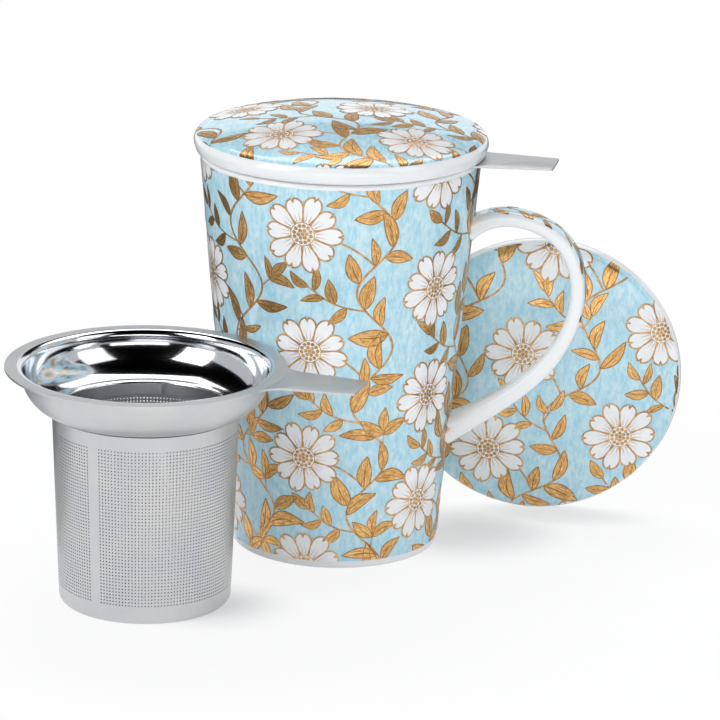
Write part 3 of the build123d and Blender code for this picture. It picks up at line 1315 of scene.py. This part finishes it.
def curve(start, end, sag):
    """Points from start to end on a bow that leaves the straight line by sag at its middle."""
    start, end = Vector(start), Vector(end)
    across = (end - start).orthogonal().normalized()
    shares = [step / curve_steps for step in range(curve_steps + 1)]
    return [start.lerp(end, share) + across * sag * math.sin(math.pi * share) for share in shares]


def branch(root, tip, chance, squeeze, taken):
    """A bowed side branch with leaves to both sides and one at its end."""
    run = curve(root, tip, branch_sag)
    parts = [ribbon(run, branch_width)]
    for step, side in branch_leaves:
        ahead = run[step] - run[step - 1]
        turn = math.atan2(ahead.y, ahead.x) + side * chance.uniform(*branch_leaf_spreads)
        size = chance.uniform(*branch_leaf_sizes)
        parts += leaf_at(run[step], turn, size, chance, squeeze, taken, last=side == 0)
    return parts


# %% Vines
flower_pitch = 37.0 * MM
vine_swing = 6.2 * MM
leaf_slope = 0.82
leaf_wander = 0.22
leaf_margin = 4 * MM
leaf_sizes = (0.78, 1.12)
leaves_per_pitch = 13
leaves_per_sprig = 6
spare_leaves = 3


def vine(x, lean, squeeze):
    """Where a waving vine passes a height."""
    return lambda y: x + lean * vine_swing * squeeze(y) * math.cos(TURN * y / flower_pitch)


def leafed(vine_at, lean, low, high, chance, squeeze, taken):
    """Leaves to both sides of a vine, with a sprig here and there."""
    parts = []
    for number in range(int((high - low) / flower_pitch * leaves_per_pitch) + spare_leaves):
        y = low - leaf_margin + number * flower_pitch / leaves_per_pitch
        side = 1 if number % 2 else -1
        slope = -lean * vine_swing * TURN / flower_pitch * math.sin(TURN * y / flower_pitch)
        turn = math.atan2(1, slope) - side * (leaf_slope + chance.uniform(-leaf_wander, leaf_wander))
        root = (vine_at(y), y)
        if number % leaves_per_sprig == leaves_per_sprig // 2:
            parts += sprig(root, turn, chance, squeeze(y), taken)
        else:
            parts += leaf_at(root, turn, chance.uniform(*leaf_sizes), chance, squeeze(y), taken)
    return parts


# %% A flower on its stalk
flower_sizes = (0.92, 1.05)
stalk_width = stem_width * 0.9
stalk_drop = 10 * MM
stalk_sag = 2.5 * MM


def stalked_flower(x, y, vine_at, chance, squeeze):
    """A flower with a bowed stalk that comes up from its vine."""
    turn = chance.uniform(0, TURN / petal_count)
    size = chance.uniform(*flower_sizes)
    head = copy_flat(flower, x, y, turn, size, squeeze(y))
    foot = (vine_at(y - stalk_drop), y - stalk_drop)
    return [head, ribbon(curve(foot, (x, y), -stalk_sag), stalk_width)]


# %% The garden
flower_wander = 1.8 * MM
branch_rise = 6 * MM
branch_tip = (0.5 * MM, 1.5 * MM)


def garden(name, column_width, columns, low, high, squeeze, seed, first=0):
    """One flat print: columns of flowers in a half-drop, with a leafy vine between each two.

    squeeze(y) is how much wider than drawn the print has to be at a height, so that it comes out true.
    """
    chance = random.Random(seed)
    parts = []
    taken = []
    vines = []
    steps = int((high - low) / stem_step)
    heights = [low + (high - low) * step / steps for step in range(steps + 1)]
    for column in range(first, first + columns):
        drop = flower_pitch / 2 * (column % 2)
        centre_x = column * column_width
        lean = 1 if column % 2 == 0 else -1
        vine_at = vine(centre_x + column_width / 2, lean, squeeze)
        vines.append((vine_at, lean))
        parts.append(ribbon([(vine_at(y), y) for y in heights], stem_width))
        for row in range(int(low / flower_pitch) - 1, int(high / flower_pitch) + 2):
            y = row * flower_pitch + drop + chance.uniform(-1, 1) * flower_wander
            x = centre_x + chance.uniform(-1, 1) * flower_wander
            if not low - flower_radius < y < high + flower_radius:
                continue
            gap_y = row * flower_pitch + drop + flower_pitch / 2
            root = (vine_at(gap_y - branch_rise), gap_y - branch_rise)
            tip = (centre_x + branch_tip[0], gap_y + branch_tip[1])
            parts += branch(root, tip, chance, squeeze(gap_y), taken)
            parts += stalked_flower(x, y, vine_at, chance, squeeze)
    for vine_at, lean in vines:
        parts += leafed(vine_at, lean, low, high, chance, squeeze, taken)
    print(name, len(parts), "motifs")
    return joined(parts, name)


# %% [markdown]
# ## Laying the print on the wall
#
# Flat, the print is as wide as the mug's girth half way up. Each motif is drawn wider where the wall is
# narrower, so that it comes out round. The part above and below the printed band is cut off, and the
# rest is wrapped: across becomes an angle, and up stays up. A Simple Deform modifier could roll it into a
# cylinder, but not onto a wall that widens.

# %% Cutting, laying and finishing a print


def trim(piece, axis, position, keep_below):
    """Cuts a flat piece along a line and deletes one side."""
    normal = Vector((axis == 0, axis == 1, 0))
    edit(piece)
    bpy.ops.mesh.bisect(
        plane_co=normal * position, plane_no=normal, clear_outer=keep_below, clear_inner=not keep_below
    )
    leave()


def laid(piece, bend):
    """Lays a flat print on a surface: bend gives the place of a point and its lift."""
    for vertex in piece.data.vertices:
        vertex.co = bend(*vertex.co)
    return piece


def finish_print(piece, body):
    """Shades a print smooth and lets it ride."""
    edit(piece)
    bpy.ops.mesh.quads_convert_to_tris()
    bpy.ops.mesh.dissolve_degenerate(threshold=2 * MERGE)
    leave()
    smooth(piece, degrees=60)
    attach(piece, body)
    print(piece.name, triangles(piece), "triangles")


# %% The print on the wall
print_low = 2.6 * MM
print_high = mug_height - 1.5 * MM
ground_lift = 0.03 * MM
ground_depth = 0.2 * MM
girth_height = mug_height / 2
girth = TURN * wall_radius(girth_height)
wall_columns = 6
wall_turn = math.radians(-104)


def on_wall(x, y, lift):
    turn = x / girth * TURN + wall_turn
    radius = wall_radius(y) + ground_lift + lift
    return radius * math.cos(turn), radius * math.sin(turn), y


def wall_squeeze(y):
    return wall_radius(girth_height) / wall_radius(y)


wall_flat = garden(
    "wall_print", girth / wall_columns, wall_columns, print_low, print_high, wall_squeeze, seed=7
)
trim(wall_flat, 1, print_high, True)
trim(wall_flat, 1, print_low, False)
finish_print(laid(wall_flat, on_wall), "mug")

# %% [markdown]
# The blue lies under the motifs as a band of its own, a few hundredths of a millimetre proud of the china.
# Its back is sunk in the china, so that no gap shows at its edges.

# %% The ground under it
wall_ground_corners = (
    (print_low, ground_lift),
    (print_high, ground_lift),
    (print_high, -ground_depth),
    (print_low, -ground_depth),
)
wall_ground_skin = lathe(
    "wall_ground", [Vector((wall_radius(height) + out, height)) for height, out in wall_ground_corners]
)
wall_ground_skin.data.materials.append(wall_ground)
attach(wall_ground_skin, "mug")

# %% [markdown]
# ## A strip of print on the handle
#
# The print goes on over the outer face of the handle as a narrow garland. The handle is a freely bent loop,
# so the strip's place is measured on it: rays that are shot inwards, towards a point inside the loop,
# meet its outer face first. Their distances apart give the length along the face. The view layer is updated
# before the first ray, so that the rays find the new handle.

# %% The outer face of the handle
handle_turn = math.radians(-8)
loop_axis = 60 * MM
loop_height = 76 * MM
strip_half_width = 4.3 * MM
strip_start = math.radians(111)
strip_end = math.radians(-42)
ray_start = 100 * MM
handle_out = Vector((math.cos(handle_turn), math.sin(handle_turn), 0))
handle_side = Vector((-math.sin(handle_turn), math.cos(handle_turn), 0))
loop_centre = handle_out * loop_axis + Vector((0, 0, loop_height))


def meet_handle(angle, across):
    """The point of the handle's outer face in one direction from inside the loop, and its normal."""
    direction = handle_out * math.cos(angle) + Vector((0, 0, math.sin(angle)))
    start = loop_centre + direction * ray_start + handle_side * across
    return handle.ray_cast(start, -direction)[1:3]


bpy.context.view_layer.update()
strip_steps = 90
strip_turn = (strip_end - strip_start) / strip_steps
strip_angles = [strip_start + strip_turn * step for step in range(strip_steps + 1)]
strip_runs = [0]
for before, after in zip(strip_angles, strip_angles[1:]):
    strip_runs.append(strip_runs[-1] + (meet_handle(after, 0)[0] - meet_handle(before, 0)[0]).length)
strip_length = strip_runs[-1]
print("handle strip", round(strip_length / MM, 1), "mm long")


def on_handle(x, y, lift):
    """The place on the handle's outer face at a run x from its upper root and y across it."""
    run = min(max(x, 0), strip_length)
    here = min(max(bisect.bisect(strip_runs, run) - 1, 0), strip_steps - 1)
    share = (run - strip_runs[here]) / (strip_runs[here + 1] - strip_runs[here])
    angle = strip_angles[here] * (1 - share) + strip_angles[here + 1] * share
    place, normal = meet_handle(angle, y)
    return place + normal * (ground_lift + lift)


# %% The strip
bpy.ops.mesh.primitive_grid_add(x_subdivisions=strip_steps, y_subdivisions=10, size=1, calc_uvs=False)
strip = named(bpy.context.object, "handle_ground")
for vertex in strip.data.vertices:
    x = (vertex.co.x + 0.5) * strip_length
    vertex.co = on_handle(x, vertex.co.y * 2 * strip_half_width, 0)
edit(strip)
bpy.ops.mesh.normals_make_consistent(inside=False)
leave()
outward = strip.data.polygons[0].normal.dot(meet_handle(strip_start, 0)[1])
thicken(strip, ground_depth, -1 if outward > 0 else 1)
smooth(strip, degrees=60)
strip.data.materials.append(wall_ground)
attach(strip, "mug")
print(strip.name, triangles(strip), "triangles")

# %% Its garland
garland_swing = 1.5 * MM
garland_wave = 19 * MM
garland_width = stem_width * 0.8
garland_leaf_step = 4.1 * MM
garland_leaf_sizes = (0.5, 0.64)
garland_spread = 0.75
garland_wander = 0.2


def garland():
    """A waving stem with small leaves to both sides, along +X."""
    chance = random.Random(17)
    steps = int(strip_length / stem_step)
    runs = [strip_length * step / steps for step in range(steps + 1)]
    middle = {run: garland_swing * math.sin(TURN * run / garland_wave) for run in runs}
    parts = [ribbon(list(middle.items()), garland_width)]
    for number in range(int(strip_length / garland_leaf_step)):
        run = (number + 0.4) * garland_leaf_step
        side = 1 if number % 2 else -1
        turn = side * (garland_spread + chance.uniform(-garland_wander, garland_wander))
        y = garland_swing * math.sin(TURN * run / garland_wave)
        pattern = chance.choice(leaves)
        parts.append(copy_flat(pattern, run, y, turn, chance.uniform(*garland_leaf_sizes)))
    flat = joined(parts, "handle_print")
    for axis, position, keep_below in (
        (0, 0, False),
        (0, strip_length, True),
        (1, strip_half_width, True),
        (1, -strip_half_width, False),
    ):
        trim(flat, axis, position, keep_below)
    return flat


finish_print(laid(garland(), on_handle), "mug")

# %% [markdown]
# ## Laying the print on the lids
#
# On a lid the print is a disc. A point of the flat print goes as far out along the dome's outline as it was
# from the middle, and what would pass the printed edge on the shoulder is pulled in to that edge. The
# edge leaves a white rim round the lid.

# %% Places on the dome
print_edge_radius = 45.3 * MM
print_edge = math.acos((print_edge_radius - shoulder_circle) / lid_shoulder)
crown_run = crown_radius * crown_end
shoulder_run = lid_shoulder * (shoulder_end - print_edge)
print_run = crown_run + shoulder_run
print("the print reaches", round(print_run / MM, 1), "mm from the middle of the lid")


def on_dome(run, lift):
    """(radius, height) on the lid's outside, at a distance from its middle along the surface."""
    if run <= crown_run:
        angle = math.pi / 2 - run / crown_radius
        centre, radius = crown_centre, crown_radius
    else:
        angle = shoulder_end - (run - crown_run) / lid_shoulder
        centre, radius = (shoulder_circle, lid_rim_height), lid_shoulder
    out = radius + lift
    return Vector((centre[0] + out * math.cos(angle), centre[1] + out * math.sin(angle)))


def on_lid(x, y, lift):
    out = Vector((x, y)).normalized()
    radius, height = on_dome(min(math.hypot(x, y), print_run), ground_lift + lift)
    return out.x * radius, out.y * radius, height


# %% The print on a lid
lid_column_width = 39 * MM
lid_columns = 4
spare = 14 * MM


def delete_beyond(piece, reach):
    """Deletes the faces of a flat piece that lie wholly beyond a distance from the middle."""
    beyond = [vertex.co.xy.length > reach for vertex in piece.data.vertices]
    open_faces(piece, lambda polygon: all(beyond[i] for i in polygon.vertices))
    bpy.ops.mesh.delete(type="FACE")
    bpy.ops.mesh.select_mode(type="VERT")
    leave()


def lid_print(name, place, seed, turn, shift):
    reach = print_run + spare
    flat = garden(
        name, lid_column_width, lid_columns, -reach, reach, lambda y: 1, seed, first=-lid_columns // 2
    )
    flat.data.transform(Matrix.Rotation(turn, 4, "Z") @ Matrix.Translation((*shift, 0)))
    delete_beyond(flat, print_run)
    laid(flat, on_lid).data.transform(place)
    return flat


# %% The grounds and prints of both lids
crown_steps = 24
shoulder_steps = 8


def lid_ground_skin(name, place, material):
    runs = [crown_run * step / crown_steps for step in range(crown_steps)]
    runs += [crown_run + shoulder_run * step / shoulder_steps for step in range(shoulder_steps + 1)]
    top = [on_dome(run, ground_lift) for run in runs]
    under = [on_dome(run, -ground_depth) for run in reversed(runs)]
    skin = lathe(name, top + under)
    skin.data.transform(place)
    skin.data.materials.append(material)
    return skin


for name, place, body, material, seed, turn, shift in (
    ("lid", lid_place, "mug_lid", lid_ground, 3, 0.35, (14 * MM, 6 * MM)),
    ("leaning_lid", leaning_place, "second_lid", leaning_ground, 5, -0.3, (-8 * MM, 9 * MM)),
):
    skin = lid_ground_skin(name + "_ground", place, material)
    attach(skin, body)
    finish_print(lid_print(name + "_print", place, seed, turn, shift), body)
for pattern in (*leaves, flower):
    bpy.data.objects.remove(pattern)

# %% [markdown]
# ## Floor, light and camera
#
# The set stands on a plain white floor under soft light. The floor is lit like the rest, and to the camera
# and in the glaze it glows a little as well, more so away from the set, so that it comes out white. Near
# the set, and most in fixed pools beside the foot of the mug, the standing infuser and the leaning lid, it
# glows
# less. That is a painted shadow: it lets the real shadows beside the pieces show, and it stays put when a
# piece moves.

# %% The floor
bpy.ops.mesh.primitive_plane_add(size=8)
floor = bpy.context.object
floor.name = "floor"
floor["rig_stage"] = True
floor_finish = Finish("studio_floor", Roughness=0.7, Base_Color=(0.95, 0.955, 0.96, 1))
glow = floor_finish.node("Emission", None, {"Color": (1, 1, 1, 1), "Strength": 1.0})
seen = floor_finish.node("LightPath", output="Is Camera Ray")
mirrored = floor_finish.node("LightPath", output="Is Glossy Ray")
print("the floor is", floor.dimensions.x, "m wide")

# %% Where the floor glows


def from_point(x, y, radius_x, radius_y):
    """How far a point of the floor is from a place in millimetres, as a share of two radii."""
    inputs = {"Vector": floor_finish.place(), "Location": (-x, -y, 0)}
    moved = floor_finish.node("Mapping", None, inputs)
    shares = {"Vector": moved, "Scale": (1 / radius_x, 1 / radius_y, 0)}
    sized = floor_finish.node("Mapping", None, shares)
    return floor_finish.node("VectorMath", {"operation": "LENGTH"}, {0: sized}, output="Value")


# Painted shadow: pools of weaker glow at fixed places beside each piece's foot; each holds x and y, two
# radii in millimetres, and a depth.
painted_shadow_pools = {
    "mug": (43, 4, 40, 34, 1.0),
    "standing infuser": (-38, -68, 30, 26, 1.0),
    "leaning lid": (72, 24, 46, 16, 0.6),
}
near_glow = 0.86
painted_shadow_glow = 0.38
mirror_share = 0.82
pools = 0.0
for caster, (x, y, radius_x, radius_y, depth) in painted_shadow_pools.items():
    pool = depth - depth * from_point(x, y, radius_x, radius_y).spread(0.2, 1)
    pools = pool.math("MAXIMUM", pools)
    print("glow in the shadow of the", caster, round(near_glow - depth * (near_glow - painted_shadow_glow), 2))
near = near_glow - (near_glow - painted_shadow_glow) * pools
# Painted shade as well: the glow is weaker near the set and full only well away from it.
away = from_point(20, 0, 100, 100).spread(1.2, 2.6)
glow_share = near + away * (1 - near)
lit = Value(floor_finish, floor_finish.shader.outputs[0])
glow_mask = (seen + mirrored * mirror_share) * glow_share
mixed = floor_finish.node("MixShader", None, {0: glow_mask, 1: lit, 2: glow})
output = floor_finish.tree.nodes["Material Output"]
floor_finish.tree.links.new(mixed.socket, output.inputs["Surface"])
floor.data.materials.append(floor_finish.material)

# %% World
world = bpy.data.worlds.new("studio")
bpy.context.scene.world = world
world.use_nodes = True
background = world.node_tree.nodes["Background"]
background.inputs["Color"].default_value = (0.93, 0.96, 1.0, 1)
background.inputs["Strength"].default_value = 0.5
world.cycles_visibility.glossy = False
print("the world has a strength of", background.inputs["Strength"].default_value)

# %% [markdown]
# China glaze and polished steel look like what they mirror. So cards stand round the set, as in a studio: a
# white one behind, which washes the top of the lid and the tabs, grey ones to both sides, and dark flags on
# the floor, which give the gold, the glaze and the steel their dark edges. The flag beside the standing
# infuser is paler, so that the steel doesn't go black there. The cards show in reflections only.

# %% Cards


def card(name, low, high, strength):
    """A flat rectangle between two corners, which shows only in reflections."""
    bpy.ops.mesh.primitive_plane_add(size=1, calc_uvs=False)
    piece = bpy.context.object
    piece.name = name
    low, high = Vector(low), Vector(high)
    first, second = [axis for axis in range(3) if high[axis] != low[axis]]
    for vertex in piece.data.vertices:
        place = low.copy()
        place[first] += (high[first] - low[first]) * (vertex.co.x + 0.5)
        place[second] += (high[second] - low[second]) * (vertex.co.y + 0.5)
        vertex.co = place
    finish = Finish(
        name,
        Roughness=1.0,
        Base_Color=(0.02, 0.02, 0.02, 1),
        Specular_IOR_Level=0.0,
        Emission_Color=(0.96, 0.98, 1.0, 1),
        Emission_Strength=strength,
    )
    piece.data.materials.append(finish.material)
    piece.visible_camera = False
    piece.visible_diffuse = False
    piece.visible_shadow = False
    piece.visible_transmission = False
    piece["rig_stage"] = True
    print(name, "shines at", strength)


flag_height = 0.3 * MM
card("back_card", (-1.7, 1.7, 0.02), (1.7, 1.7, 0.75), 0.95)
card("left_card", (-1.7, -1.7, 0.02), (-1.7, 1.7, 1.1), 0.55)
card("right_card", (1.7, -1.7, 0.02), (1.7, 1.7, 1.1), 0.55)
card("left_flag", (-1.6, -0.03, flag_height), (-0.115, 1.6, flag_height), 0.08)
card("near_left_flag", (-0.3, -0.03, 2 * flag_height), (-0.115, 0.05, 2 * flag_height), 0.5)
card("right_flag", (0.125, -0.03, flag_height), (1.6, 1.6, flag_height), 0.06)
card("back_flag", (-0.11, 0.1, flag_height), (0.125, 1.6, flag_height), 0.02)

# %% [markdown]
# Four softboxes light the set. The large one at the left is the main light, the weaker one at the right
# keeps the shadow side open, the one above and behind brightens the lids and the flange, and a low strip
# in front lifts the foot of the mug. Large lamps give soft shadows and broad highlights.

# %% Lamps


def softbox(name, place, target, width, height, power):
    data = bpy.data.lights.new(name, "AREA")
    data.shape = "RECTANGLE"
    data.size = width
    data.size_y = height
    data.energy = power
    lamp = bpy.data.objects.new(name, data)
    bpy.context.scene.collection.objects.link(lamp)
    lamp.location = place
    lamp.rotation_euler = (Vector(target) - Vector(place)).to_track_quat("-Z", "Y").to_euler()
    lamp.visible_camera = False
    print(name, "shines", power, "W")


subject = (0, 0, 0.07)
softbox("left_softbox", (-0.95, -0.75, 0.75), subject, 0.7, 1.0, 6.9)
softbox("right_softbox", (1.0, -0.7, 0.8), subject, 0.7, 1.0, 2.8)
softbox("top_softbox", (0.1, 0.75, 1.25), subject, 1.4, 0.8, 9.3)
softbox("front_softbox", (0.1, -1.0, 0.13), (0, 0, 0.03), 1.0, 0.2, 1.5)

# %% [markdown]
# The camera stands more than a metre away with a long lens, as for a catalogue picture, so that the sides
# of the mug stay nearly upright. It looks down a little, which shows the top of the lid and the inside of
# the funnel.

# %% Camera
camera_data = bpy.data.cameras.new("camera")
camera = bpy.data.objects.new("camera", camera_data)
bpy.context.scene.collection.objects.link(camera)
bpy.context.scene.camera = camera
image_size = 720
focal_pixels = 4125
camera_data.sensor_width = 36
camera_data.lens = camera_data.sensor_width * focal_pixels / image_size
camera_data.clip_start = 0.05
camera_data.clip_end = 20
yaw, pitch, roll = (math.radians(a) for a in (0.87, 16.71, 1.18))
forward = Vector((math.sin(yaw) * math.cos(pitch), math.cos(yaw) * math.cos(pitch), -math.sin(pitch)))
level = Vector((math.cos(yaw), -math.sin(yaw), 0))
upright = level.cross(forward)
right = level * math.cos(roll) + upright * math.sin(roll)
up = upright * math.cos(roll) - level * math.sin(roll)
camera_place = Vector((-11.8 * MM, -1256.2 * MM, 436.1 * MM))
camera_turn = Matrix((right, up, -forward)).transposed().to_4x4()
camera.matrix_world = Matrix.Translation(camera_place) @ camera_turn
print("the lens is", round(camera_data.lens), "mm long")

# %% View and finish
bpy.context.scene.view_settings.view_transform = "Standard"
low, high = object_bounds()
print("visual box", [round(v / MM, 1) for v in (*low, *high)])
